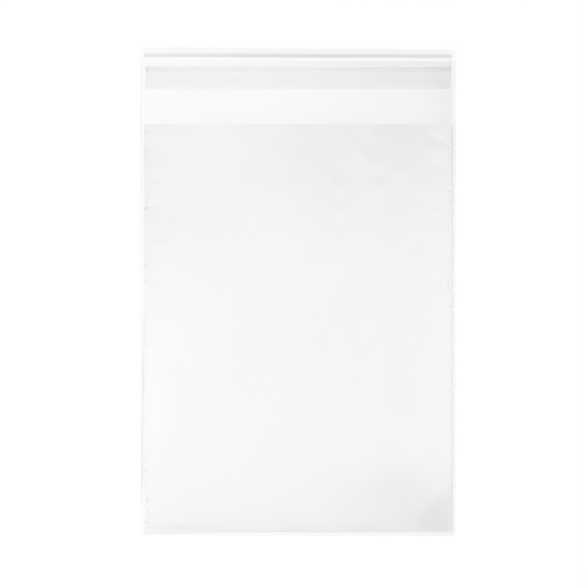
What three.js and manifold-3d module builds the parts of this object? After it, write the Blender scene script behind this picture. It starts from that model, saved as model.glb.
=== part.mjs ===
// Clear self-seal flap bag, lying flat with its front panel up and its flap unfolded.
// One sheet of film is folded at the bottom and welded along both sides. The back panel runs on
// past the mouth as the flap, which carries an adhesive strip under a release liner.
// Millimetres, +X across the bag, +Y from the bottom fold to the flap, +Z up from the table.

import * as THREE from "three";
import { mergeVertices } from "three/addons/utils/BufferGeometryUtils.js";
import Module from "manifold-3d";

// Film
const bagWidth = 155.4; // across both welds
const pocketLength = 202.5; // bottom fold to mouth
const flapLength = 37.9; // film past the mouth, measured flat at mid-width
const flapSkew = 1.4; // how much shorter the flap is cut at the right side than at the left
const filmThickness = 0.04;
const weldWidth = 1.6; // fused band along each side
const foldWidth = 2; // band along the bottom fold where the two panels lie pressed together

// Air held under the front panel
const puffHeight = 5.6; // clear height in the middle of the pocket
const puffRun = 46; // distance from a weld or the fold over which the panel rises
const puffFullness = 3; // power of the rise: a higher one is steeper at the edge and flatter on top
const puffSteps = 8; // facets over that distance

// Turned-up end of the flap
const lipLength = 3.9; // film past the bend line, at mid-width
const lipSkew = 1; // how much nearer the mouth the bend line is at the right side than at the left
const lipAngleLeft = 12; // degrees up from the table
const lipAngleRight = 25;
const lipBendRadius = 1.6;
const lipBendSteps = 4; // facets round the bend
const lipTwistSteps = 8; // facets across the bag, where the lip's angle changes

// Closure
const closureInset = 2.4; // the bag's sides to the strips' ends
const linerToMouth = 18.1; // mouth to the liner's near edge
const linerWidth = 10.8;
const linerThickness = 0.05;
const adhesiveWidth = 6.4;
const adhesiveThickness = 0.04;
const adhesiveInset = 1.4; // the liner's near edge to the adhesive's near edge

// Booleans
const wasm = await Module();
wasm.setup();

function toSolid(geometry) {
  const bare = geometry.clone();
  bare.deleteAttribute("normal");
  bare.deleteAttribute("uv");
  const merged = mergeVertices(bare);
  return new wasm.Manifold(
    new wasm.Mesh({
      numProp: 3,
      vertProperties: new Float32Array(merged.attributes.position.array),
      triVerts: new Uint32Array(merged.index.array),
    }),
  );
}

function toGeometry(solid) {
  const mesh = solid.getMesh();
  const geometry = new THREE.BufferGeometry();
  geometry.setAttribute("position", new THREE.BufferAttribute(mesh.vertProperties, 3));
  geometry.setIndex(new THREE.BufferAttribute(mesh.triVerts, 1));
  geometry.computeVertexNormals();
  return geometry;
}

// Evenly spaced values from start to end, both included.
function spaced(start, end, steps) {
  return Array.from({ length: steps + 1 }, (_, i) => THREE.MathUtils.lerp(start, end, i / steps));
}

// A film panel as a thin slab. columns are the places across the bag. Each row is a function that
// gives, at a place across, the point on the film's underside and how far the film tilts up there.
function filmPanel(columns, rows) {
  const across = columns.length - 1;
  const along = rows.length - 1;
  const geometry = new THREE.BoxGeometry(across, along, 1, across, along, 1);
  const position = geometry.attributes.position;
  for (let i = 0; i < position.count; i++) {
    const x = columns[Math.round(position.getX(i) + across / 2)];
    const under = rows[Math.round(position.getY(i) + along / 2)](x);
    const lift = position.getZ(i) > 0 ? filmThickness : 0;
    position.setXYZ(i, x, under.y - lift * Math.sin(under.tilt), under.z + lift * Math.cos(under.tilt));
  }
  return geometry;
}

// Front panel: pressed to the back panel in the welds and the fold, and lifted by the air between.
function riseFrom(edgeDistance) {
  const share = THREE.MathUtils.clamp(edgeDistance / puffRun, 0, 1);
  return 1 - (1 - share) ** puffFullness;
}

function frontRow(y) {
  return (x) => {
    const sideRise = riseFrom(bagWidth / 2 - weldWidth - Math.abs(x));
    const foldRise = riseFrom(y - foldWidth);
    return { y, z: filmThickness + puffHeight * sideRise * foldRise, tilt: 0 };
  };
}

function frontPanel() {
  const weldEdge = bagWidth / 2 - weldWidth;
  const leftRise = spaced(-weldEdge, puffRun - weldEdge, puffSteps);
  const rightRise = spaced(weldEdge - puffRun, weldEdge, puffSteps);
  const foldRise = spaced(foldWidth, foldWidth + puffRun, puffSteps);
  const columns = [-bagWidth / 2, ...leftRise, ...rightRise, bagWidth / 2];
  const rows = [0, ...foldRise, pocketLength].map(frontRow);
  return filmPanel(columns, rows);
}

// Back panel and flap: flat on the table as far as the bend line, then turned up as the lip.
function lipAt(x) {
  const offCentre = x / bagWidth;
  return {
    start: pocketLength + flapLength - lipLength - lipSkew * offCentre,
    length: lipLength + (lipSkew - flapSkew) * offCentre,
    angle: THREE.MathUtils.degToRad(THREE.MathUtils.lerp(lipAngleLeft, lipAngleRight, offCentre + 0.5)),
  };
}

function flatRow(y) {
  return () => ({ y, z: 0, tilt: 0 });
}

function bendRow(share) {
  return (x) => {
    const lip = lipAt(x);
    const tilt = lip.angle * share;
    return {
      y: lip.start + lipBendRadius * Math.sin(tilt),
      z: lipBendRadius * (1 - Math.cos(tilt)),
      tilt,
    };
  };
}

function lipEnd(x) {
  const lip = lipAt(x);
  const bendEnd = bendRow(1)(x);
  const straight = lip.length - lipBendRadius * lip.angle;
  return {
    y: bendEnd.y + straight * Math.cos(lip.angle),
    z: bendEnd.z + straight * Math.sin(lip.angle),
    tilt: lip.angle,
  };
}

function backPanel() {
  const columns = spaced(-bagWidth / 2, bagWidth / 2, lipTwistSteps);
  const rows = [flatRow(0), flatRow(pocketLength), ...spaced(0, 1, lipBendSteps).map(bendRow), lipEnd];
  return filmPanel(columns, rows);
}

function filmBag() {
  const material = new THREE.MeshStandardMaterial({
    color: 0xf4f4f2,
    roughness: 0.12,
    metalness: 0,
    transparent: true,
    opacity: 0.25,
  });
  const mesh = new THREE.Mesh(toGeometry(toSolid(backPanel()).add(toSolid(frontPanel()))), material);
  mesh.name = "film_bag";
  return mesh;
}

// Closure strips lie on the flap between the welds.
function closureStrip(name, width, thickness, nearEdge, seat, material) {
  const strip = new THREE.Mesh(new THREE.BoxGeometry(bagWidth - 2 * closureInset, width, thickness), material);
  strip.position.set(0, nearEdge + width / 2, seat + thickness / 2);
  strip.name = name;
  return strip;
}

function adhesiveStrip() {
  const material = new THREE.MeshStandardMaterial({
    color: 0xeeeeea,
    roughness: 0.35,
    metalness: 0,
    transparent: true,
    opacity: 0.4,
  });
  const nearEdge = pocketLength + linerToMouth + adhesiveInset;
  return closureStrip("adhesive_strip", adhesiveWidth, adhesiveThickness, nearEdge, filmThickness, material);
}

function releaseLiner() {
  const material = new THREE.MeshStandardMaterial({
    color: 0xe9e9e7,
    roughness: 0.25,
    metalness: 0,
    transparent: true,
    opacity: 0.4,
  });
  const nearEdge = pocketLength + linerToMouth;
  const seat = filmThickness + adhesiveThickness;
  return closureStrip("release_liner", linerWidth, linerThickness, nearEdge, seat, material);
}

// The bag's origin is on the table, under the middle of its box.
const bag = new THREE.Group();
bag.add(filmBag(), adhesiveStrip(), releaseLiner());
bag.position.y = -new THREE.Box3().setFromObject(bag).getCenter(new THREE.Vector3()).y;

const flapBag = new THREE.Group();
flapBag.add(bag);

export default flapBag;
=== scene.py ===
import math

import bpy
import numpy as np
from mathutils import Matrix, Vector


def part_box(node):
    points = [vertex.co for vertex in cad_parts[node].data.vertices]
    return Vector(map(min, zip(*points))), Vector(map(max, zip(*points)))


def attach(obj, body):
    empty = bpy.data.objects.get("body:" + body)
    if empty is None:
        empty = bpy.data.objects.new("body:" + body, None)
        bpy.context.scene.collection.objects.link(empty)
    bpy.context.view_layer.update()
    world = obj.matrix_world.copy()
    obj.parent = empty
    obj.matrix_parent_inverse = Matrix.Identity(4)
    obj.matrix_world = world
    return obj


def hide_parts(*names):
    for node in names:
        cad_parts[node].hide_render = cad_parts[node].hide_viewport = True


# Metres. The bag lies on its back panel, with its fold towards -Y and its flap towards +Y.
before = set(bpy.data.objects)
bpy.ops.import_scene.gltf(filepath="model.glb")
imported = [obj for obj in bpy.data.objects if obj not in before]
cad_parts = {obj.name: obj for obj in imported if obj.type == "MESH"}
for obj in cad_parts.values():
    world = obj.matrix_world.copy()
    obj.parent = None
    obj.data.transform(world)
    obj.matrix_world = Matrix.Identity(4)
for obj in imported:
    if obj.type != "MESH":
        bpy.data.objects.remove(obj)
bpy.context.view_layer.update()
filmLow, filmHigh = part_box("film_bag")
linerLow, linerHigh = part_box("release_liner")
print("frame loaded, bag box in mm:", [round(1000 * v, 2) for v in filmHigh - filmLow])


# Meshes

def addSkin(points, grid):
    start = sum(len(p) for p in points)
    points.append(grid.reshape(-1, 3))
    return np.arange(start, start + grid.shape[0] * grid.shape[1]).reshape(grid.shape[:2])


def skinFaces(index, facesDown=False):
    quads = np.stack([index[:-1, :-1], index[:-1, 1:], index[1:, 1:], index[1:, :-1]], -1).reshape(-1, 4)
    return (quads[:, ::-1] if facesDown else quads).tolist()


def wallFaces(lower, upper, flip=False):
    quads = np.stack([lower[:-1], lower[1:], upper[1:], upper[:-1]], -1)
    return (quads[:, ::-1] if flip else quads).tolist()


def makePiece(name, points, faces, sharpAngle=40):
    mesh = bpy.data.meshes.new(name)
    mesh.from_pydata(np.concatenate(points).tolist(), [], faces)
    mesh.validate()
    mesh.shade_smooth()
    mesh.set_sharp_from_angle(angle=math.radians(sharpAngle))
    piece = bpy.data.objects.new(name, mesh)
    bpy.context.scene.collection.objects.link(piece)
    return piece


def closedStrip(name, under, top):
    points = []
    topIndex = addSkin(points, top)
    underIndex = addSkin(points, under)
    faces = skinFaces(topIndex) + skinFaces(underIndex, facesDown=True)
    faces += wallFaces(underIndex[0], topIndex[0])
    faces += wallFaces(underIndex[-1], topIndex[-1], flip=True)
    faces += wallFaces(underIndex[:, 0], topIndex[:, 0], flip=True)
    faces += wallFaces(underIndex[:, -1], topIndex[:, -1])
    return makePiece(name, points, faces)


def stations(*runs):
    # runs are (start, end, steps), each starting where the last one ended
    parts = [np.linspace(start, end, steps + 1)[:-1] for start, end, steps in runs]
    return np.concatenate(parts + [[runs[-1][1]]])


def plainWaves(x, y, rng, count, lengths):
    total = np.zeros_like(x)
    for _ in range(count):
        heading = rng.uniform(0, math.pi)
        length = rng.uniform(*lengths)
        phase = rng.uniform(0, 2 * math.pi)
        along = x * math.cos(heading) + y * math.sin(heading)
        total += np.sin(2 * math.pi * along / length + phase)
    return total / math.sqrt(count)


# Shader nodes

def fill(tree, node, inputs):
    for key, value in inputs.items():
        if isinstance(value, bpy.types.NodeSocket):
            tree.links.new(value, node.inputs[key])
        else:
            node.inputs[key].default_value = value
    return node


def addNode(tree, kind, inputs=None, **settings):
    node = tree.nodes.new(kind)
    for key, value in settings.items():
        setattr(node, key, value)
    return fill(tree, node, inputs or {})


def placeGroup(tree, group, inputs):
    return addNode(tree, "ShaderNodeGroup", inputs, node_tree=group)


def calc(tree, operation, first, second=0.0, third=0.0):
    inputs = {0: first, 1: second}
    if operation == "MULTIPLY_ADD":
        inputs[2] = third
    return addNode(tree, "ShaderNodeMath", inputs, operation=operation).outputs[0]


def product(tree, first, *others):
    for other in others:
        first = calc(tree, "MULTIPLY", first, other)
    return first


def ramp(tree, value, start, end, to=(0.0, 1.0), curve="SMOOTHSTEP"):
    inputs = {"Value": value, "From Min": start, "From Max": end, "To Min": to[0], "To Max": to[1]}
    return addNode(tree, "ShaderNodeMapRange", inputs, interpolation_type=curve).outputs["Result"]


def noise(tree, place, scale, detail):
    inputs = {"Vector": place, "Scale": scale, "Detail": detail}
    return addNode(tree, "ShaderNodeTexNoise", inputs).outputs[0]


def stretched(tree, place, scale):
    return addNode(tree, "ShaderNodeVectorMath", {0: place, 1: scale}, operation="MULTIPLY").outputs[0]


def shifted(place, offsets):
    return [place + offset for offset in offsets]


def strongest(tree, parts):
    # parts are masks with their strengths
    total = None
    for mask, strength in parts:
        part = calc(tree, "MULTIPLY", mask, strength)
        total = part if total is None else calc(tree, "MAXIMUM", total, part)
    return total


def newGroup(name, inputs, outputs):
    group = bpy.data.node_groups.new(name, "ShaderNodeTree")
    for label, kind, value in inputs:
        group.interface.new_socket(label, in_out="INPUT", socket_type=kind).default_value = value
    for label in outputs:
        group.interface.new_socket(label, in_out="OUTPUT", socket_type="NodeSocketFloat")
    return group, group.nodes.new("NodeGroupInput").outputs, group.nodes.new("NodeGroupOutput").inputs


lineCore = 0.35  # share of a soft line's half width at full strength


def makeLineGroup():
    # a soft line where a coordinate passes a set place
    group, given, out = newGroup(
        "softLine",
        [
            ("Coordinate", "NodeSocketFloat", 0.0),
            ("Place", "NodeSocketFloat", 0.0),
            ("Half Width", "NodeSocketFloat", 0.001),
        ],
        ["Mask"],
    )
    away = calc(group, "ABSOLUTE", calc(group, "SUBTRACT", given["Coordinate"], given["Place"]))
    core = calc(group, "MULTIPLY", given["Half Width"], lineCore)
    group.links.new(ramp(group, away, given["Half Width"], core), out["Mask"])
    return group


filmGrain = {
    "lineStretch": (0.02, 1.0, 1.0),
    "lineShare": 0.25,  # height of the die lines beside the crinkle
    "cloudScale": 22.0,
    "hazeRange": (0.3, 0.75),
    "roughRange": (0.3, 0.7),
}


def makeGrainGroup():
    # die lines along the film's run, fine crinkle and patchy haze
    group, given, out = newGroup(
        "filmGrain",
        [
            ("Vector", "NodeSocketVector", (0.0, 0.0, 0.0)),
            ("Line Scale", "NodeSocketFloat", 900.0),
            ("Crinkle Scale", "NodeSocketFloat", 120.0),
        ],
        ["Haze", "Height", "Roughness"],
    )
    place = given["Vector"]
    drawn = stretched(group, place, filmGrain["lineStretch"])
    lines = noise(group, drawn, given["Line Scale"], 2.0)
    crinkle = noise(group, place, given["Crinkle Scale"], 3.0)
    cloud = noise(group, place, filmGrain["cloudScale"], 2.0)
    height = calc(group, "MULTIPLY_ADD", lines, filmGrain["lineShare"], crinkle)
    group.links.new(height, out["Height"])
    group.links.new(ramp(group, cloud, *filmGrain["hazeRange"], curve="LINEAR"), out["Haze"])
    group.links.new(ramp(group, crinkle, *filmGrain["roughRange"], curve="LINEAR"), out["Roughness"])
    return group


def makeSpotGroup():
    # small round specks
    group, given, out = newGroup(
        "cellSpots",
        [
            ("Vector", "NodeSocketVector", (0.0, 0.0, 0.0)),
            ("Scale", "NodeSocketFloat", 600.0),
            ("Rim", "NodeSocketFloat", 0.2),
            ("Core", "NodeSocketFloat", 0.08),
        ],
        ["Mask"],
    )
    inputs = {"Vector": given["Vector"], "Scale": given["Scale"]}
    cells = addNode(group, "ShaderNodeTexVoronoi", inputs).outputs["Distance"]
    group.links.new(ramp(group, cells, given["Rim"], given["Core"]), out["Mask"])
    return group


lineGroup = makeLineGroup()
grainGroup = makeGrainGroup()
spotGroup = makeSpotGroup()
print("node groups made:", lineGroup.name, grainGroup.name, spotGroup.name)


def line(tree, coordinate, place, halfWidth):
    inputs = {"Coordinate": coordinate, "Place": place, "Half Width": halfWidth}
    return placeGroup(tree, lineGroup, inputs).outputs["Mask"]


def spots(tree, place, scale, rim, core):
    inputs = {"Vector": place, "Scale": scale, "Rim": rim, "Core": core}
    return placeGroup(tree, spotGroup, inputs).outputs["Mask"]


milkyReturn = 0.5  # share of the milky light that comes back up


def clearFilm(name, look, shade):
    # a film's two faces mirror together at its outer face, and the inner face only lets light pass
    # shade takes the place and the plain haze, and gives the shares of light held back and turned milky;
    # the light held back is painted shade, apart from the liner's specks and the adhesive's bubbles
    material = bpy.data.materials.new(name)
    material.use_nodes = True
    tree = material.node_tree
    tree.nodes.clear()
    place = addNode(tree, "ShaderNodeTexCoord").outputs["Object"]
    x, y, _ = addNode(tree, "ShaderNodeSeparateXYZ", {0: place}).outputs
    scales = {"Line Scale": look["lineScale"], "Crinkle Scale": look["crinkleScale"]}
    grain = placeGroup(tree, grainGroup, {"Vector": place, **scales}).outputs
    rise = {"Height": grain["Height"], "Distance": look["bumpDepth"]}
    bump = addNode(tree, "ShaderNodeBump", rise).outputs[0]
    rough = ramp(tree, grain["Roughness"], 0, 1, look["roughness"], "LINEAR")
    haze = ramp(tree, grain["Haze"], 0, 1, look["haze"], "LINEAR")
    shadeAndSpecks, milky = shade(tree, place, x, y, haze)
    opacity = calc(tree, "ADD", shadeAndSpecks, milky)
    paleness = calc(tree, "DIVIDE", calc(tree, "MULTIPLY", milky, milkyReturn), opacity)
    body = addNode(tree, "ShaderNodeBsdfPrincipled", {"Base Color": paleness, "Alpha": opacity})
    fill(tree, body, {"Roughness": 1.0, "Specular IOR Level": 0.0})
    shine = {"Color": (1, 1, 1, 1), "Roughness": rough, "Normal": bump}
    gloss = addNode(tree, "ShaderNodeBsdfGlossy", shine)
    mirrored = addNode(tree, "ShaderNodeFresnel", {"IOR": look["ior"], "Normal": bump}).outputs[0]
    outer = addNode(tree, "ShaderNodeMixShader", {0: mirrored, 1: body.outputs[0], 2: gloss.outputs[0]})
    inner = addNode(tree, "ShaderNodeBsdfTransparent", {"Color": (1, 1, 1, 1)})
    back = addNode(tree, "ShaderNodeNewGeometry").outputs["Backfacing"]
    either = addNode(tree, "ShaderNodeMixShader", {0: back, 1: outer.outputs[0], 2: inner.outputs[0]})
    addNode(tree, "ShaderNodeOutputMaterial", {"Surface": either.outputs[0]})
    return material


def dress(piece, node, material):
    piece.data.materials.append(material)
    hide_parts(node)
    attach(piece, "root")


# Film bag: one closed skin, fused where the panels are welded or pressed at the fold

filmBag = {
    "pocketLength": 0.2025,  # bottom fold to mouth
    "flapLength": 0.0379,  # film past the mouth at mid-width, measured flat
    "flapSkew": 0.0014,  # how much shorter the flap is cut at the right side
    "thickness": 0.00004,
    "weldWidth": 0.0016,
    "foldWidth": 0.0020,
    "puffHeight": 0.0056,  # air under the front panel
    "puffRun": 0.046,
    "puffFullness": 3,
    "lipLength": 0.0039,  # turned-up end of the flap
    "lipSkew": 0.0010,
    "lipAngleLeft": 12,
    "lipAngleRight": 25,
    "lipBendRadius": 0.0016,
    "shoulderRun": 0.0021,  # the film starts to lift a little before the lip's bend
    "shoulderAngle": 7,
    "waveHeight": 0.00018,  # slow swells in the front panel
    "waveCount": 6,
    "waveLengths": (0.05, 0.13),
    "crinkleHeight": 0.00003,
    "crinkleCount": 14,
    "crinkleLengths": (0.009, 0.024),
    "puckerHeight": 0.00010,  # short gathers along the welds
    "puckerReach": 0.0035,
    "puckerSpread": (0.6, 1.7),  # times the reach
    "puckerHalfWidth": (0.0012, 0.0028),
    "puckerLean": 0.5,
    "puckerSpacing": (0.003, 0.010),
    "flapLift": 0.00005,  # off the table between the mouth and the liner
    "flapSway": (0.5, 0.35, 1.2),  # its mean, its unevenness and its most
    "flapWaveCount": 4,
    "flapWaveLengths": (0.03, 0.10),
    "seed": 11,
    # mesh
    "border": 0.012,  # with finer steps, along the welds and the fold
    "weldSteps": 5,
    "borderSteps": 16,
    "middleSteps": 70,
    "foldSteps": 4,
    "foldBorderSteps": 14,
    "lengthSteps": 148,
    "flapSteps": {"flat": 22, "shoulder": 4, "bend": 6, "lip": 4},
    # film
    "ior": 1.75,  # mirrors as both faces of a film of index 1.49 do
    "haze": (0.018, 0.030),
    "roughness": (0.05, 0.12),
    "lineScale": 900.0,
    "crinkleScale": 120.0,
    "bumpDepth": 0.000012,
    # marks, painted shade unless said otherwise: a strength is a share of light held back, and a pair is
    # where a mark starts and is full
    "lineHalfWidth": 0.0005,
    "weldBlend": (0.0002, -0.0004),  # across the weld's inner edge
    "mouthBlend": (0.0002, -0.0002),
    # painted shade along the welds and the side edges: dark lines at the welds' inner edges and at the cut
    # edges
    "leftWeldLine": 0.14,
    "leftWeldPlace": 0.0002,
    "leftWeldHalf": 0.0004,
    "leftWeldTop": (0.0, -0.05),
    "leftWeldFoot": (-0.102, -0.096),
    "leftWeldFaint": 0.3,  # what is left of it near the fold
    "weldLean": 0.0095,  # how the weld runs askew on the left
    "rightWeldLine": 0.068,
    "rightWeldPlace": 0.0002,
    "rightWeldHalf": 0.0006,
    "leftEdgeLine": 0.11,
    "edgeLine": 0.05,
    "mouthEdgeShade": 0.12,  # painted shade: a darker stretch of the right edge near the mouth
    "mouthEdgeHalf": 0.0004,
    "mouthEdgeStart": (0.05, 0.06),
    "tickShade": 0.05,  # painted shade in dark specks beside the welds, standing for small nips in the film
    "tickScale": 480.0,
    "tickRange": (0.58, 0.68),
    "tickPlace": 0.0014,
    "tickHalf": 0.0016,
    # painted shade along the fold: a dark line, shade above it, a darker line at its left end and
    # pleat-like specks
    "foldLine": 0.05,
    "foldFade": (0.05, 0.01),
    "foldFaint": 0.3,  # what is left of it at the right
    "foldSag": 0.0007,  # how much lower it runs at the left
    "foldSagStart": -0.02,
    "foldShade": 0.022,  # painted shade above the fold
    "foldShadeReach": 0.012,
    "foldShadeRise": 0.016,  # how much higher it reaches at the right
    "foldShadeRiseStart": 0.055,
    "foldShadeLeft": 0.55,
    "foldEndShade": 0.09,  # painted shade: a darker line at the left end of the fold
    "foldEndPlace": 0.0006,
    "foldEndHalf": 0.0006,
    "foldEndStart": (-0.035, -0.060),
    "pleatShade": 0.030,  # painted shade in small pleat-like specks above it
    "pleatPlace": 0.0030,
    "pleatHalf": 0.0022,
    "pleatRight": (-0.030, -0.040),
    "pleatLeft": (-0.074, -0.062),
    "pleatStretch": (0.12, 1.0, 1.0),
    "pleatScale": 800.0,
    "pleatRange": (0.52, 0.62),
    # painted shade along the mouth: a dark line at its edge and short ripple-like streaks below it
    "mouthLine": 0.016,
    "mouthFade": (0.03, -0.01),
    "mouthFaint": 0.2,  # what is left of it at the right
    "rippleShade": 0.022,
    "rippleReach": (-0.0045, -0.0005),
    "rippleStretch": (1.0, 0.2, 0.2),
    "rippleScale": 700.0,
    "rippleRange": (0.55, 0.68),
    # painted shade on the flap: lines at the cut end and the crease, and darker patches on the lip, at the
    # right end and between the bend and the liner
    "endLine": 0.06,
    "endFall": 0.00162,  # how much lower the cut end lies at the right side
    # painted shade: a dark line along the lip's crease
    "creaseShade": 0.155,
    "creaseFall": 0.0005,  # how much lower the crease lies at the right side
    "creaseSet": 0.0002,  # before the bend's start
    "creaseStart": (-0.0007, -0.0002),
    "creaseEnd": (0.0021, 0.0007),
    "creaseLeft": 0.68,  # what is left of it at either side
    "creaseRight": 0.84,
    "creaseRightStart": 0.2,  # share of the half width
    # painted shade over the lip, darker towards the right
    "lipShade": 0.035,
    "lipStart": (0.0018, 0.0030),
    "flapEndShade": 0.028,  # painted shade over the flap's right end
    "flapEndReach": (-0.016, -0.001),
    "flapEndMouth": (0.0, 0.0005),
    "flapEndBend": (-0.0005, -0.0012),
    "stubShade": 0.085,  # painted shade: a short dark line at the right, from the crease down to the liner's end
    "stubPlace": 0.0003,
    "stubHalf": 0.0006,
    "stubFoot": (-0.0045, -0.0025),
    "stubTop": (0.0015, 0.0005),
    "gapShade": 0.033,  # painted shade in a faint band between the bend and the liner
    "gapPlace": 0.0030,
    "gapHalf": 0.0017,
    "gapRun": (-0.8, 0.4),  # shares of the half width
    # clearer film where the panels are welded, and painted highlights as clearer film below the crease and
    # beside both welds
    "weldClear": (-0.0001, 0.0003),
    "creaseHighlightPlace": 0.0011,  # before the crease
    "creaseHighlightHalf": 0.0009,
    "rightLightReach": (-0.012, -0.001),  # painted light: clearer, lighter film beside the right weld, fading out near the fold
    "rightLightFoot": (-0.10, -0.08),
    "rightLightShare": 0.6,
    "leftHighlightReach": (0.012, 0.002),  # painted highlight beside the left weld
    "leftHighlightPlace": -0.047,
    "leftHighlightHalf": 0.040,
}
weldX = filmHigh.x - filmBag["weldWidth"]
foldY = filmLow.y + filmBag["foldWidth"]
mouthY = filmLow.y + filmBag["pocketLength"]
bendY = mouthY + filmBag["flapLength"] - filmBag["lipLength"] - filmBag["creaseSet"]


def riseFrom(edgeDistance):
    share = np.clip(edgeDistance / filmBag["puffRun"], 0, 1)
    return 1 - (1 - share) ** filmBag["puffFullness"]


def weldPuckers(x, y, rng):
    total = np.zeros_like(x)
    most = filmBag["puckerLean"]
    for side in (-1, 1):
        inward = np.clip(weldX - side * x, 0, None)
        at = rng.uniform(*filmBag["puckerSpacing"])
        while at < filmBag["pocketLength"]:
            height = filmBag["puckerHeight"] * rng.uniform(-1.0, 1.0)
            reach = filmBag["puckerReach"] * rng.uniform(*filmBag["puckerSpread"])
            halfWidth = rng.uniform(*filmBag["puckerHalfWidth"])
            lean = rng.uniform(-most, most)
            fade = inward / reach * np.exp(1 - inward / reach)
            total += height * fade * np.exp(-(((y - at - lean * inward) / halfWidth) ** 2))
            at += rng.uniform(*filmBag["puckerSpacing"])
    return total


def frontUnderside(x, y):
    # y is measured from the fold
    rng = np.random.default_rng(filmBag["seed"])
    sideRise = riseFrom(weldX - np.abs(x))
    foldRise = riseFrom(y - filmBag["foldWidth"])
    rise = sideRise * foldRise
    swell = plainWaves(x, y, rng, filmBag["waveCount"], filmBag["waveLengths"])
    swell *= filmBag["waveHeight"]
    crinkle = plainWaves(x, y, rng, filmBag["crinkleCount"], filmBag["crinkleLengths"])
    crinkle *= filmBag["crinkleHeight"]
    pucker = weldPuckers(x, y, rng) * foldRise
    lift = np.maximum(filmBag["puffHeight"] * rise + rise * (swell + crinkle) + pucker, 0)
    lift *= filmBag["puffHeight"] / lift.max()
    return filmBag["thickness"] + np.where(rise > 0, lift, 0)


def flapLift(x, y):
    # the film stands a little off the table between the mouth and the liner
    rng = np.random.default_rng(filmBag["seed"] + 1)
    linerNear = linerLow.y - filmLow.y
    share = np.clip((y - filmBag["pocketLength"]) / (linerNear - filmBag["pocketLength"]), 0, 1)
    mean, uneven, most = filmBag["flapSway"]
    waves = plainWaves(x, 0 * y, rng, filmBag["flapWaveCount"], filmBag["flapWaveLengths"])
    return filmBag["flapLift"] * np.clip(mean + uneven * waves, 0, most) * np.sin(math.pi * share) ** 2


def lipAt(x):
    offCentre = x / (filmHigh.x - filmLow.x)
    start = filmBag["pocketLength"] + filmBag["flapLength"] - filmBag["lipLength"]
    start = start - filmBag["lipSkew"] * offCentre
    length = filmBag["lipLength"] + (filmBag["lipSkew"] - filmBag["flapSkew"]) * offCentre
    share = offCentre + 0.5
    angle = np.radians(filmBag["lipAngleLeft"] * (1 - share) + filmBag["lipAngleRight"] * share)
    return start, length, angle


def flapRow(x, part, share):
    # part is flat, shoulder, bend or lip, and share says how far along it the row is
    start, length, angle = lipAt(x)
    radius = filmBag["lipBendRadius"]
    run = filmBag["shoulderRun"]
    first = math.radians(filmBag["shoulderAngle"])
    if part == "flat":
        y = filmBag["pocketLength"] + share * (start - run - filmBag["pocketLength"])
        return y, flapLift(x, y), 0 * x
    if part == "shoulder":
        rise = 0.5 * run * math.tan(first) * share**2
        return start - run + share * run, 0 * x + rise, 0 * x + first * share
    tilt = first + (angle - first) * (share if part == "bend" else 1)
    y = start + radius * (np.sin(tilt) - math.sin(first))
    z = 0.5 * run * math.tan(first) + radius * (math.cos(first) - np.cos(tilt))
    if part == "lip":
        straight = share * (length - radius * (angle - first))
        y = y + straight * np.cos(angle)
        z = z + straight * np.sin(angle)
    return y, z, tilt


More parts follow.
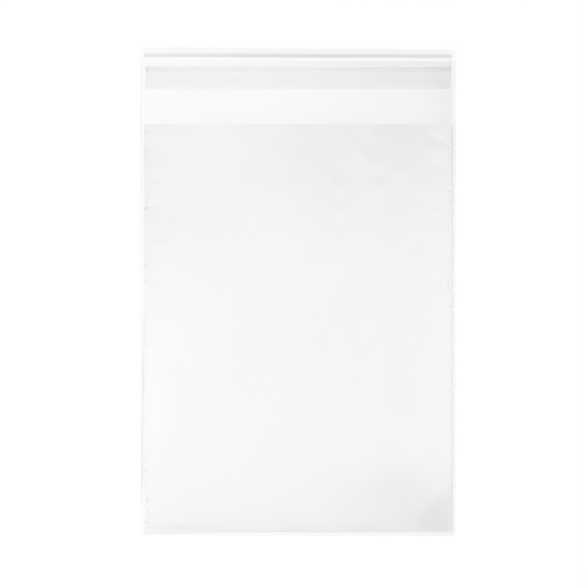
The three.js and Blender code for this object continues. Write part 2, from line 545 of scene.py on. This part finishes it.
def makeFilmBag():
    half = filmHigh.x
    weld = filmBag["weldWidth"]
    fold = filmBag["foldWidth"]
    mouth = filmBag["pocketLength"]
    thick = filmBag["thickness"]
    border = filmBag["border"]
    weldSteps, borderSteps, foldSteps = filmBag["weldSteps"], filmBag["borderSteps"], filmBag["foldSteps"]
    xs = stations(
        (-half, weld - half, weldSteps),
        (weld - half, weld + border - half, borderSteps),
        (weld + border - half, half - weld - border, filmBag["middleSteps"]),
        (half - weld - border, half - weld, borderSteps),
        (half - weld, half, weldSteps),
    )
    ys = stations(
        (0, fold, foldSteps),
        (fold, fold + border, filmBag["foldBorderSteps"]),
        (fold + border, mouth, filmBag["lengthSteps"]),
    )
    left, right, mouthRow = weldSteps, len(xs) - 1 - weldSteps, len(ys) - 1

    gridX, gridY = np.meshgrid(xs, ys)
    under = frontUnderside(gridX, gridY)
    frontTop = np.stack([gridX, gridY, under + thick], -1)
    inside = (slice(foldSteps, None), slice(left, right + 1))
    frontUnder = np.stack([gridX, gridY, under], -1)[inside]
    backTop = np.stack([gridX, gridY, np.full_like(gridX, thick)], -1)[inside]
    backUnder = np.stack([gridX, gridY, np.zeros_like(gridX)], -1)

    plan = [("flat", 0.0)]
    for part, steps in filmBag["flapSteps"].items():
        plan += [(part, share) for share in np.linspace(0, 1, steps + 1)[1:]]
    rows = [flapRow(xs, *step) for step in plan]
    flapUnder = np.stack([np.stack([xs, y, z], -1) for y, z, tilt in rows])
    flapTop = np.stack(
        [np.stack([xs, y - thick * np.sin(tilt), z + thick * np.cos(tilt)], -1) for y, z, tilt in rows]
    )

    points = []
    frontTopAt = addSkin(points, frontTop)
    frontUnderAt = addSkin(points, frontUnder)
    backTopAt = addSkin(points, backTop)
    flapTopAt = addSkin(points, flapTop)
    underAt = addSkin(points, np.concatenate([backUnder, flapUnder[1:]]))
    # the panels part at the welds and the fold, and the back panel runs on as the flap
    backTopAt[0] = frontUnderAt[0]
    backTopAt[:, 0] = frontUnderAt[:, 0]
    backTopAt[:, -1] = frontUnderAt[:, -1]
    flapTopAt[0, left:right + 1] = backTopAt[-1]
    mouthAt = flapTopAt[0].copy()
    mouthAt[left:right + 1] = frontUnderAt[-1]

    faces = skinFaces(frontTopAt) + skinFaces(frontUnderAt, facesDown=True)
    faces += skinFaces(backTopAt) + skinFaces(flapTopAt) + skinFaces(underAt, facesDown=True)
    faces += wallFaces(underAt[0], frontTopAt[0])
    faces += wallFaces(underAt[-1], flapTopAt[-1], flip=True)
    faces += wallFaces(mouthAt, frontTopAt[-1], flip=True)
    for column, flip in ((0, True), (-1, False)):
        faces += wallFaces(underAt[:mouthRow, column], frontTopAt[:mouthRow, column], flip)
        faces += wallFaces(underAt[mouthRow:, column], flapTopAt[:, column], flip)
        step = [
            underAt[mouthRow - 1, column],
            underAt[mouthRow, column],
            flapTopAt[0, column],
            frontTopAt[mouthRow, column],
            frontTopAt[mouthRow - 1, column],
        ]
        faces.append(step[::-1] if flip else step)

    points = [p + np.array([0, filmLow.y, 0]) for p in points]
    points = dropLoose(points, faces)
    return makePiece("filmBag", points, faces)


def dropLoose(points, faces):
    # renumbers the faces in place, without the corners that shared edges left unused
    every = np.concatenate(points)
    used = np.unique(np.concatenate([np.asarray(f) for f in faces]))
    renumber = np.full(len(every), -1)
    renumber[used] = np.arange(len(used))
    faces[:] = [renumber[f].tolist() for f in faces]
    return [every[used]]


# painted shade on the flap: dark lines at the crease, the cut end and a short stub at the right, and darker
# patches on the lip, at the right end and in a band below the bend
def flapMarks(tree, at):
    half = filmHigh.x
    crease = product(
        tree,
        ramp(tree, at["bent"], *shifted(bendY, filmBag["creaseStart"])),
        ramp(tree, at["bent"], *shifted(bendY, filmBag["creaseEnd"])),
        ramp(tree, at["x"], -half, 0.0, (filmBag["creaseLeft"], 1.0)),
        ramp(tree, at["x"], filmBag["creaseRightStart"] * half, half, (1.0, filmBag["creaseRight"])),
        at["between"],
    )
    lip = product(
        tree,
        ramp(tree, at["bent"], *shifted(bendY, filmBag["lipStart"])),
        ramp(tree, at["x"], -half, half),
    )
    flapEnd = product(
        tree,
        ramp(tree, at["x"], *shifted(weldX, filmBag["flapEndReach"])),
        ramp(tree, at["y"], *shifted(mouthY, filmBag["flapEndMouth"])),
        ramp(tree, at["bent"], *shifted(bendY, filmBag["flapEndBend"])),
        at["between"],
    )
    stub = product(
        tree,
        line(tree, at["x"], linerHigh.x - filmBag["stubPlace"], filmBag["stubHalf"]),
        ramp(tree, at["y"], *shifted(linerHigh.y, filmBag["stubFoot"])),
        ramp(tree, at["bent"], *shifted(bendY, filmBag["stubTop"])),
    )
    gapStart, gapFull = (share * half for share in filmBag["gapRun"])
    gap = product(
        tree,
        line(tree, at["bent"], bendY - filmBag["gapPlace"], filmBag["gapHalf"]),
        ramp(tree, at["x"], gapStart, gapFull),
        at["between"],
    )
    end = line(tree, at["cut"], filmHigh.y - 0.5 * filmBag["endFall"], filmBag["lineHalfWidth"])
    return [
        (crease, filmBag["creaseShade"]),
        (lip, filmBag["lipShade"]),
        (flapEnd, filmBag["flapEndShade"]),
        (stub, filmBag["stubShade"]),
        (gap, filmBag["gapShade"]),
        (end, filmBag["endLine"]),
    ]


# painted shade along the mouth: a dark line and short ripple-like streaks below it
def mouthMarks(tree, at):
    mouth = product(
        tree,
        line(tree, at["y"], mouthY, filmBag["lineHalfWidth"]),
        ramp(tree, at["x"], *filmBag["mouthFade"], (filmBag["mouthFaint"], 1.0)),
    )
    upright = stretched(tree, at["place"], filmBag["rippleStretch"])
    rippleShading = product(
        tree,
        ramp(tree, noise(tree, upright, filmBag["rippleScale"], 2.0), *filmBag["rippleRange"]),
        ramp(tree, at["y"], *shifted(mouthY, filmBag["rippleReach"])),
        ramp(tree, at["x"], *filmBag["mouthFade"]),
        at["pocket"],
    )
    return [(mouth, filmBag["mouthLine"]), (rippleShading, filmBag["rippleShade"])]


# painted shade along the welds and the side edges
def sideMarks(tree, at):
    leaning = calc(tree, "MULTIPLY_ADD", at["y"], -filmBag["weldLean"], at["x"])
    leftWeld = product(
        tree,
        line(tree, leaning, filmBag["leftWeldPlace"] - weldX, filmBag["leftWeldHalf"]),
        ramp(tree, at["y"], *filmBag["leftWeldTop"]),
        ramp(tree, at["y"], *filmBag["leftWeldFoot"], (filmBag["leftWeldFaint"], 1.0)),
        at["pocket"],
    )
    rightWeld = line(tree, at["x"], weldX + filmBag["rightWeldPlace"], filmBag["rightWeldHalf"])
    mouthEdgeShade = product(
        tree,
        line(tree, at["x"], filmHigh.x, filmBag["mouthEdgeHalf"]),
        ramp(tree, at["y"], *filmBag["mouthEdgeStart"]),
        at["pocket"],
    )
    ticks = product(
        tree,
        ramp(tree, noise(tree, at["place"], filmBag["tickScale"], 1.0), *filmBag["tickRange"]),
        line(tree, at["side"], weldX - filmBag["tickPlace"], filmBag["tickHalf"]),
    )
    return [
        (leftWeld, filmBag["leftWeldLine"]),
        (product(tree, rightWeld, at["pocket"]), filmBag["rightWeldLine"]),
        (line(tree, at["x"], filmLow.x, filmBag["lineHalfWidth"]), filmBag["leftEdgeLine"]),
        (line(tree, at["x"], filmHigh.x, filmBag["lineHalfWidth"]), filmBag["edgeLine"]),
        (mouthEdgeShade, filmBag["mouthEdgeShade"]),
        (ticks, filmBag["tickShade"]),
    ]


# painted shade along the fold: a dark line, shade above it, a darker line at its left end, pleat-like
# specks and a line at the bottom edge
def foldMarks(tree, at):
    half = filmHigh.x
    sag = ramp(tree, at["x"], filmBag["foldSagStart"], -half, (0.0, filmBag["foldSag"]))
    fold = product(
        tree,
        line(tree, calc(tree, "ADD", at["y"], sag), foldY, filmBag["lineHalfWidth"]),
        ramp(tree, at["x"], *filmBag["foldFade"], (filmBag["foldFaint"], 1.0)),
    )
    rise = ramp(tree, at["x"], filmBag["foldShadeRiseStart"], half, (0.0, filmBag["foldShadeRise"]))
    aboveFoldShade = product(
        tree,
        ramp(tree, calc(tree, "SUBTRACT", at["y"], rise), foldY + filmBag["foldShadeReach"], foldY),
        ramp(tree, at["x"], -half, half, (filmBag["foldShadeLeft"], 1.0)),
        at["between"],
    )
    foldEndLine = product(
        tree,
        line(tree, at["y"], foldY - filmBag["foldEndPlace"], filmBag["foldEndHalf"]),
        ramp(tree, at["x"], *filmBag["foldEndStart"]),
        at["between"],
    )
    level = stretched(tree, at["place"], filmBag["pleatStretch"])
    pleatShading = product(
        tree,
        ramp(tree, noise(tree, level, filmBag["pleatScale"], 1.0), *filmBag["pleatRange"]),
        line(tree, at["y"], foldY + filmBag["pleatPlace"], filmBag["pleatHalf"]),
        ramp(tree, at["x"], *filmBag["pleatRight"]),
        ramp(tree, at["x"], *filmBag["pleatLeft"]),
    )
    return [
        (fold, filmBag["foldLine"]),
        (aboveFoldShade, filmBag["foldShade"]),
        (foldEndLine, filmBag["foldEndShade"]),
        (pleatShading, filmBag["pleatShade"]),
        (line(tree, at["y"], filmLow.y, filmBag["lineHalfWidth"]), filmBag["edgeLine"]),
    ]


# clearer film where the panels are welded, and painted highlights as clearer film below the crease and
# beside both welds
def clearWeldsAndPaintedHighlights(tree, at):
    creaseHighlight = line(tree, at["bent"], bendY - filmBag["creaseHighlightPlace"], filmBag["creaseHighlightHalf"])
    welded = ramp(tree, at["side"], *shifted(weldX, filmBag["weldClear"]))
    rightLightBand = product(
        tree,
        ramp(tree, at["x"], *shifted(weldX, filmBag["rightLightReach"])),
        ramp(tree, at["y"], *filmBag["rightLightFoot"]),
        at["pocket"],
    )
    leftHighlight = product(
        tree,
        ramp(tree, at["x"], *shifted(-weldX, filmBag["leftHighlightReach"])),
        line(tree, at["y"], filmBag["leftHighlightPlace"], filmBag["leftHighlightHalf"]),
    )
    creaseHighlight = product(tree, creaseHighlight, at["between"])
    return strongest(tree, [(creaseHighlight, 1.0), (welded, 1.0), (rightLightBand, filmBag["rightLightShare"]), (leftHighlight, 1.0)])


def filmShade(tree, place, x, y, haze):
    width = filmHigh.x - filmLow.x
    side = calc(tree, "ABSOLUTE", x)
    at = {
        "place": place,
        "x": x,
        "y": y,
        "side": side,
        "between": ramp(tree, side, *shifted(weldX, filmBag["weldBlend"])),
        "pocket": ramp(tree, y, *shifted(mouthY, filmBag["mouthBlend"])),
        # the lip's bend and cut end run a little askew
        "bent": calc(tree, "MULTIPLY_ADD", x, filmBag["creaseFall"] / width, y),
        "cut": calc(tree, "MULTIPLY_ADD", x, filmBag["endFall"] / width, y),
    }
    # the marks are painted shade, and the clear parts take haze away, partly as painted highlights
    marks = flapMarks(tree, at) + mouthMarks(tree, at) + sideMarks(tree, at) + foldMarks(tree, at)
    dull = calc(tree, "SUBTRACT", 1.0, clearWeldsAndPaintedHighlights(tree, at))
    return strongest(tree, marks), product(tree, haze, dull)


film = makeFilmBag()
dress(film, "film_bag", clearFilm("clearFilm", filmBag, filmShade))
print("film bag made, faces:", len(film.data.polygons))


# Adhesive strip, with a slightly uneven coated edge

adhesiveStrip = {
    "columns": 150,
    "rows": 10,
    "edgeWander": 0.00022,
    "edgeSway": (0.6, 0.5),  # mean of the wander and its unevenness
    "edgeWaveCount": 6,
    "edgeWaveLengths": (0.004, 0.04),
    "seed": 31,
    "ior": 1.12,
    "haze": (0.010, 0.016),
    "roughness": (0.25, 0.45),
    "lineScale": 900.0,
    "crinkleScale": 400.0,
    "bumpDepth": 0.00002,
    "bubbleShade": 0.03,
    "bubbleScale": 700.0,
    "bubbleSize": (0.22, 0.08),  # rim and core
}


def edgeSway(x, rng):
    mean, uneven = adhesiveStrip["edgeSway"]
    waves = plainWaves(x, 0 * x, rng, adhesiveStrip["edgeWaveCount"], adhesiveStrip["edgeWaveLengths"])
    return np.clip(mean + uneven * waves, 0, None)


def makeAdhesiveStrip():
    low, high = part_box("adhesive_strip")
    rng = np.random.default_rng(adhesiveStrip["seed"])
    xs = np.linspace(low.x, high.x, adhesiveStrip["columns"] + 1)
    share = np.linspace(0, 1, adhesiveStrip["rows"] + 1)
    wander = adhesiveStrip["edgeWander"]
    near = low.y + wander * edgeSway(xs, rng)
    far = high.y - wander * edgeSway(xs, rng)
    gridY = near + np.outer(share, far - near)
    gridX = np.broadcast_to(xs, gridY.shape)
    under = np.stack([gridX, gridY, np.full_like(gridY, low.z)], -1)
    top = np.stack([gridX, gridY, np.full_like(gridY, high.z)], -1)
    return closedStrip("adhesiveStrip", under, top)


def adhesiveShade(tree, place, x, y, haze):
    bubbles = spots(tree, place, adhesiveStrip["bubbleScale"], *adhesiveStrip["bubbleSize"])
    return calc(tree, "MULTIPLY", bubbles, adhesiveStrip["bubbleShade"]), haze


adhesive = makeAdhesiveStrip()
dress(adhesive, "adhesive_strip", clearFilm("adhesiveCoat", adhesiveStrip, adhesiveShade))
print("adhesive strip made")


# Release liner, loose along its far edge

releaseLiner = {
    "dryEdge": 0.0030,  # margin past the adhesive
    "dryLift": (0.00012, 0.00045),
    "drySway": (0.5, 0.4),  # mean of the lift along the strip and its unevenness
    "dryWaveCount": 5,
    "dryWaveLengths": (0.012, 0.07),
    "columns": 150,
    "rows": 24,
    "seed": 23,
    "ior": 1.48,  # its underside is wetted by the adhesive, so it mirrors about as one face does
    "haze": (0.003, 0.008),
    "roughness": (0.08, 0.18),
    "lineScale": 1400.0,
    "crinkleScale": 120.0,
    "bumpDepth": 0.000010,
    # painted shade: a dark line along the near edge, and darker shade over the loose margin, towards the
    # right and at the left end
    "edgeLine": 0.05,
    "edgeHalf": 0.0004,
    "dryShade": 0.054,
    "dryBand": (0.30, 0.8),  # middle and half width of the shade, as shares of the margin
    "dryLeft": (0.75, 0.55),  # shares of the shade at the left end and at mid-width
    "dryRight": (0.6, 0.45),  # how far to the right it is full again, and what that adds
    "farShade": 0.010,  # painted shade, growing towards the right
    "farRun": 0.7,  # share of the strip over which that grows
    "cornerShade": 0.02,  # painted shade at its left end
    "cornerReach": 0.014,
    "speckShade": 0.07,
    "speckScale": 620.0,
    "speckSize": (0.20, 0.08),  # rim and core
}


def makeReleaseLiner():
    low, high = linerLow, linerHigh
    rng = np.random.default_rng(releaseLiner["seed"])
    xs = np.linspace(low.x, high.x, releaseLiner["columns"] + 1)
    ys = np.linspace(low.y, high.y, releaseLiner["rows"] + 1)
    gridX, gridY = np.meshgrid(xs, ys)
    loose = np.clip((gridY - (high.y - releaseLiner["dryEdge"])) / releaseLiner["dryEdge"], 0, 1)
    mean, uneven = releaseLiner["drySway"]
    waves = plainWaves(gridX, 0 * gridY, rng, releaseLiner["dryWaveCount"], releaseLiner["dryWaveLengths"])
    sway = np.clip(mean + uneven * waves, 0, 1)
    least, most = releaseLiner["dryLift"]
    lift = (least + (most - least) * sway) * loose**2
    under = np.stack([gridX, gridY, low.z + lift], -1)
    top = np.stack([gridX, gridY, high.z + lift], -1)
    return closedStrip("releaseLiner", under, top)


# the near edge line, the margin's shade, the far shade and the corner shade are painted shade; the specks
# are the liner's own
def linerShade(tree, place, x, y, haze):
    middle, halfWidth = (share * releaseLiner["dryEdge"] for share in releaseLiner["dryBand"])
    loose = line(tree, y, linerHigh.y - middle, halfWidth)
    fullAt, added = releaseLiner["dryRight"]
    dryShadeAcross = ramp(tree, x, linerLow.x, 0.0, releaseLiner["dryLeft"])
    dryShadeAcross = calc(tree, "ADD", dryShadeAcross, ramp(tree, x, 0.0, fullAt * linerHigh.x, (0.0, added)))
    specks = spots(tree, place, releaseLiner["speckScale"], *releaseLiner["speckSize"])
    shadeAndSpecks = strongest(tree, [
        (line(tree, y, linerLow.y, releaseLiner["edgeHalf"]), releaseLiner["edgeLine"]),
        (product(tree, loose, dryShadeAcross), releaseLiner["dryShade"]),
        (product(tree, specks, loose), releaseLiner["speckShade"]),
    ])
    inner = linerLow.x + releaseLiner["cornerReach"]
    corner = ramp(tree, x, inner, linerLow.x, (0.0, releaseLiner["cornerShade"]))
    run = releaseLiner["farRun"]
    far = ramp(tree, x, run * linerLow.x, run * linerHigh.x, (0.0, releaseLiner["farShade"]), "LINEAR")
    return calc(tree, "ADD", calc(tree, "ADD", shadeAndSpecks, corner), far), haze


liner = makeReleaseLiner()
dress(liner, "release_liner", clearFilm("linerFilm", releaseLiner, linerShade))
print("release liner made")


# Studio

floorPaper = {
    "colour": (0.90, 0.90, 0.895),
    "topUp": 0.19,  # keeps the backdrop white to the camera
    "drop": 0.0001,
    "size": 14.0,
}


def makeFloor():
    size = floorPaper["size"] / 2
    z = -floorPaper["drop"]
    mesh = bpy.data.meshes.new("floor")
    corners = [(-size, -size, z), (size, -size, z), (size, size, z), (-size, size, z)]
    mesh.from_pydata(corners, [], [(0, 1, 2, 3)])
    floor = bpy.data.objects.new("floor", mesh)
    bpy.context.scene.collection.objects.link(floor)
    material = bpy.data.materials.new("floorPaper")
    material.use_nodes = True
    tree = material.node_tree
    tree.nodes.clear()
    paper = addNode(tree, "ShaderNodeBsdfDiffuse", {"Color": (*floorPaper["colour"], 1)})
    path = addNode(tree, "ShaderNodeLightPath").outputs
    seen = calc(tree, "MAXIMUM", path["Is Camera Ray"], path["Is Glossy Ray"])
    seen = calc(tree, "MAXIMUM", seen, path["Is Transmission Ray"])
    strength = calc(tree, "MULTIPLY", seen, floorPaper["topUp"])
    glow = addNode(tree, "ShaderNodeEmission", {"Color": (1, 1, 1, 1), "Strength": strength})
    both = addNode(tree, "ShaderNodeAddShader", {0: paper.outputs[0], 1: glow.outputs[0]})
    addNode(tree, "ShaderNodeOutputMaterial", {"Surface": both.outputs[0]})
    mesh.materials.append(material)


# An overhead scrim, dark round its edges, that the film mirrors. Directions are parts of a unit vector.
studioDome = {
    "colour": (1.0, 0.984, 0.975),
    "base": 0.144,
    "scrimGlow": 0.977,
    "scrimRight": (1.20, 0.70),  # where the scrim fades out
    "scrimFar": (0.24, -0.03),
    "scrimFarTaper": (0.35, 0.14),  # how the far edge comes nearer to both sides, and its nearest place
    "scrimNear": (-0.50, 0.08),
    "scrimNearGlow": 0.66,  # what is left of it at the near side
    "scrimLow": (0.15, 0.50),  # where it ends above the horizon
    "cornerRight": (-0.01, 0.075),  # a dark gap near on the right
    "cornerNear": (0.0, -0.278),
    "cornerEnd": (-0.60, -0.40),
    "cornerDepth": 0.93,
    "boardRight": (-0.01, 0.055),  # a dark board far on the right
    "boardFar": (0.008, 0.08),
    "boardEnd": (0.55, 0.35),
    "boardDepth": 0.95,
    "rightGlow": (0.10, 0.45, 0.16),  # a pale wall on the right: where it starts and is full, and its level
    "horizonGlow": 0.259,
    "horizonRise": (0.30, 0.02),
}


def makeWorld():
    world = bpy.data.worlds.new("studioDome")
    world.use_nodes = True
    tree = world.node_tree
    tree.nodes.clear()
    way = addNode(tree, "ShaderNodeTexCoord").outputs["Generated"]
    x, y, z = addNode(tree, "ShaderNodeSeparateXYZ", {0: way}).outputs
    farStart, farFull = studioDome["scrimFar"]
    aside = calc(tree, "ABSOLUTE", x)
    taper, nearest = studioDome["scrimFarTaper"]
    farStart = calc(tree, "MAXIMUM", calc(tree, "MULTIPLY_ADD", aside, -taper, farStart), nearest)
    scrim = product(
        tree,
        ramp(tree, z, *studioDome["scrimLow"]),
        ramp(tree, x, *studioDome["scrimRight"]),
        ramp(tree, y, farStart, farFull),
        ramp(tree, y, *studioDome["scrimNear"], (studioDome["scrimNearGlow"], 1.0)),
        studioDome["scrimGlow"],
    )
    corner = product(
        tree,
        ramp(tree, x, *studioDome["cornerRight"]),
        ramp(tree, y, *studioDome["cornerNear"]),
        ramp(tree, y, *studioDome["cornerEnd"]),
    )
    board = product(
        tree,
        ramp(tree, x, *studioDome["boardRight"]),
        ramp(tree, y, *studioDome["boardFar"]),
        ramp(tree, x, *studioDome["boardEnd"]),
    )
    for gap, depth in ((corner, studioDome["cornerDepth"]), (board, studioDome["boardDepth"])):
        scrim = product(tree, scrim, calc(tree, "MULTIPLY_ADD", gap, -depth, 1.0))
    horizon = ramp(tree, z, *studioDome["horizonRise"], (0.0, studioDome["horizonGlow"]))
    start, full, level = studioDome["rightGlow"]
    wall = ramp(tree, x, start, full, (studioDome["base"], studioDome["base"] + level))
    total = calc(tree, "ADD", calc(tree, "ADD", scrim, horizon), wall)
    sky = addNode(tree, "ShaderNodeBackground", {"Color": (*studioDome["colour"], 1), "Strength": total})
    addNode(tree, "ShaderNodeOutputWorld", {"Surface": sky.outputs[0]})
    bpy.context.scene.world = world


studioLamps = {
    # place, size and watts of each soft box, all aimed at the bag, and whether the film mirrors it
    "keyLamp": ((-0.94, -0.26, 0.48), (1.0, 0.6), 8.139, False),
    "fillLamp": ((1.30, 0.02, 0.55), (1.2, 0.6), 9.253, False),
    "backLamp": ((0.10, 1.30, 0.75), (1.4, 0.7), 2.1, True),
}


def makeLamps():
    for name, (place, size, watts, mirrored) in studioLamps.items():
        lamp = bpy.data.lights.new(name, "AREA")
        lamp.shape = "RECTANGLE"
        lamp.size, lamp.size_y = size
        lamp.energy = watts
        lamp.color = studioDome["colour"]
        holder = bpy.data.objects.new(name, lamp)
        holder.location = place
        holder.rotation_euler = (-Vector(place)).to_track_quat("-Z", "Y").to_euler()
        holder.visible_glossy = mirrored
        bpy.context.scene.collection.objects.link(holder)


photoView = {
    "frameSize": 0.2885,  # width of the picture at the table
    "centre": (-0.0027, -0.0004),
    "distance": 1.25,
    "sensor": 36.0,
    "clip": (0.05, 50.0),
}


def makeCamera():
    lens = bpy.data.cameras.new("photoCamera")
    lens.sensor_width = photoView["sensor"]
    lens.lens = photoView["sensor"] * photoView["distance"] / photoView["frameSize"]
    lens.clip_start, lens.clip_end = photoView["clip"]
    camera = bpy.data.objects.new("photoCamera", lens)
    camera.location = (*photoView["centre"], photoView["distance"])
    bpy.context.scene.collection.objects.link(camera)
    bpy.context.scene.camera = camera


makeFloor()
makeWorld()
makeLamps()
makeCamera()
scene = bpy.context.scene
scene.view_settings.view_transform = "Standard"
scene.cycles.transparent_max_bounces = 32
print("studio set")
